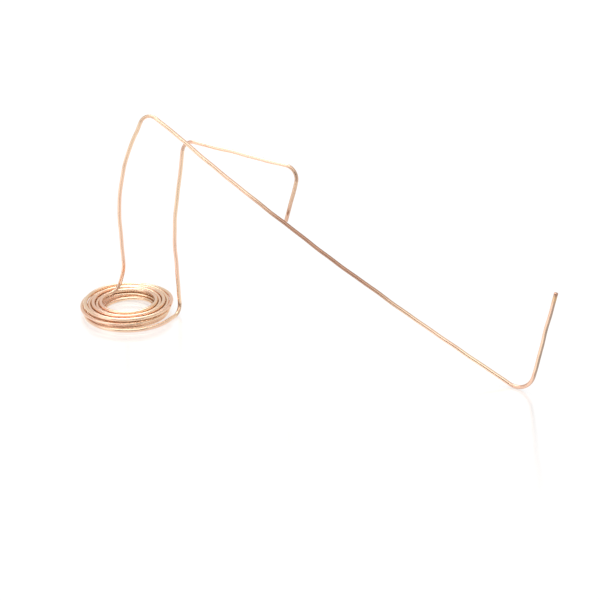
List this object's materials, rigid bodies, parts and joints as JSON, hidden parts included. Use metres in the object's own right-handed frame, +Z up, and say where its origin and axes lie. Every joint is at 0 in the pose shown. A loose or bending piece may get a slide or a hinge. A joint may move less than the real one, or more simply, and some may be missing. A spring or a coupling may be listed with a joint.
{
  "type": "thermocouple lead",
  "caption": "Bare copper-tube thermocouple lead wound into a flat three-layer coil, with a long run and upturned tip on one end and a short run with a downturned tail on the other.",
  "frame": {"origin": "on the coil's axis, on the surface that the coil stands on", "axes": "+Z up the coil's axis; +X along the long run, from the coil towards the hot end; the two runs lie on the +Y side of the coil's axis"},
  "size_m": [0.3851, 0.075, 0.1605],
  "materials": {
    "copper": "bright drawn copper",
    "copper_weld": "fused copper",
    "glass_fibre": "braided glass fibre",
    "constantan": "drawn wire",
    "fibre_bush": "matt",
    "solder": "tinned"
  },
  "bodies": {
    "root": {"tube_top_layer": "copper", "tube_outer_crossover": "copper", "tube_middle_layer": "copper", "tube_inner_crossover": "copper", "tube_bottom_layer": "copper", "tube_inner_foot": "copper", "tube_inner_riser": "copper", "tube_inner_top_bend": "copper", "tube_long_run": "copper", "tube_far_bend": "copper", "tube_tip_leg": "copper", "tube_outer_foot": "copper", "tube_outer_riser": "copper", "tube_outer_top_bend": "copper", "tube_short_run": "copper", "tube_tail_bend": "copper", "tube_tail_leg": "copper", "sleeve_top_layer": "glass_fibre", "sleeve_outer_crossover": "glass_fibre", "sleeve_middle_layer": "glass_fibre", "sleeve_inner_crossover": "glass_fibre", "sleeve_bottom_layer": "glass_fibre", "sleeve_long_side": "glass_fibre", "sleeve_short_side": "glass_fibre", "core_top_layer": "constantan", "core_outer_crossover": "constantan", "core_middle_layer": "constantan", "core_inner_crossover": "constantan", "core_bottom_layer": "constantan", "core_long_side": "constantan", "core_short_side": "constantan", "hot_junction_weld": "copper_weld", "end_bush": "fibre_bush", "contact_tip": "solder"}
  },
  "joints": []
}
